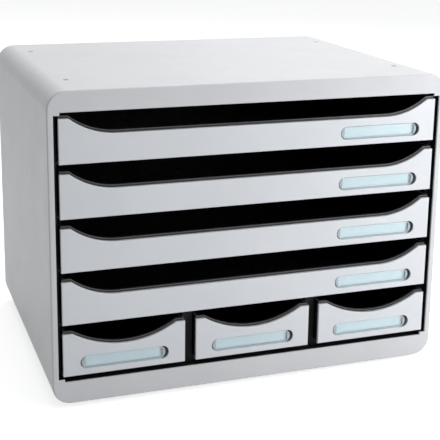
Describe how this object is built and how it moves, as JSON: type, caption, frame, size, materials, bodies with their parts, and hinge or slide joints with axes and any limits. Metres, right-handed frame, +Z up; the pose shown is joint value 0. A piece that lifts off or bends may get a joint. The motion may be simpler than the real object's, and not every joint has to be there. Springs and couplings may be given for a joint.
{
  "type": "desktop drawer unit",
  "caption": "Desktop drawer unit: a round-cornered housing holds wide letter-tray drawers over a row of small ones, all with scooped finger edges and label slots.",
  "frame": {"origin": "on the surface that the unit stands on, under the middle of the housing", "axes": "+X to the right and -Y towards the user, seen from the front; +Z up"},
  "size_m": [0.355, 0.27, 0.271],
  "materials": {
    "housing_grey": "fine satin",
    "fascia_grey": "fine satin",
    "tray_black": "semi-gloss",
    "inner_black": "satin",
    "holder_clear": "clear",
    "card_paper": "matt paper",
    "foot_rubber": "matt"
  },
  "bodies": {
    "casing": {"casing_shell": "housing_grey", "mouth_liner": "inner_black", "rear_panel": "housing_grey", "left_runner_frame": "inner_black", "right_runner_frame": "inner_black", "mid_shelf": "inner_black", "base_deck": "inner_black", "divider_1": "inner_black", "divider_2": "inner_black", "foot_1": "foot_rubber", "foot_2": "foot_rubber", "foot_3": "foot_rubber", "foot_4": "foot_rubber"},
    "large_drawer_1": {"large_drawer_1_tray": "tray_black", "large_drawer_1_fascia": "fascia_grey", "large_drawer_1_label_holder": "holder_clear", "large_drawer_1_label_card": "card_paper"},
    "large_drawer_2": {"large_drawer_2_tray": "tray_black", "large_drawer_2_fascia": "fascia_grey", "large_drawer_2_label_holder": "holder_clear", "large_drawer_2_label_card": "card_paper"},
    "large_drawer_3": {"large_drawer_3_tray": "tray_black", "large_drawer_3_fascia": "fascia_grey", "large_drawer_3_label_holder": "holder_clear", "large_drawer_3_label_card": "card_paper"},
    "large_drawer_4": {"large_drawer_4_tray": "tray_black", "large_drawer_4_fascia": "fascia_grey", "large_drawer_4_label_holder": "holder_clear", "large_drawer_4_label_card": "card_paper"},
    "small_drawer_1": {"small_drawer_1_tray": "tray_black", "small_drawer_1_fascia": "fascia_grey", "small_drawer_1_label_holder": "holder_clear", "small_drawer_1_label_card": "card_paper"},
    "small_drawer_2": {"small_drawer_2_tray": "tray_black", "small_drawer_2_fascia": "fascia_grey", "small_drawer_2_label_holder": "holder_clear", "small_drawer_2_label_card": "card_paper"},
    "small_drawer_3": {"small_drawer_3_tray": "tray_black", "small_drawer_3_fascia": "fascia_grey", "small_drawer_3_label_holder": "holder_clear", "small_drawer_3_label_card": "card_paper"}
  },
  "joints": [
    {"name": "large_drawer_1_slide", "type": "slide", "parent": "casing", "child": "large_drawer_1", "axis": [0, -1, 0], "range_m": [0, 0.18]},
    {"name": "large_drawer_2_slide", "type": "slide", "parent": "casing", "child": "large_drawer_2", "axis": [0, -1, 0], "range_m": [0, 0.18]},
    {"name": "large_drawer_3_slide", "type": "slide", "parent": "casing", "child": "large_drawer_3", "axis": [0, -1, 0], "range_m": [0, 0.18]},
    {"name": "large_drawer_4_slide", "type": "slide", "parent": "casing", "child": "large_drawer_4", "axis": [0, -1, 0], "range_m": [0, 0.18]},
    {"name": "small_drawer_1_slide", "type": "slide", "parent": "casing", "child": "small_drawer_1", "axis": [0, -1, 0], "range_m": [0, 0.18]},
    {"name": "small_drawer_2_slide", "type": "slide", "parent": "casing", "child": "small_drawer_2", "axis": [0, -1, 0], "range_m": [0, 0.18]},
    {"name": "small_drawer_3_slide", "type": "slide", "parent": "casing", "child": "small_drawer_3", "axis": [0, -1, 0], "range_m": [0, 0.18]}
  ]
}
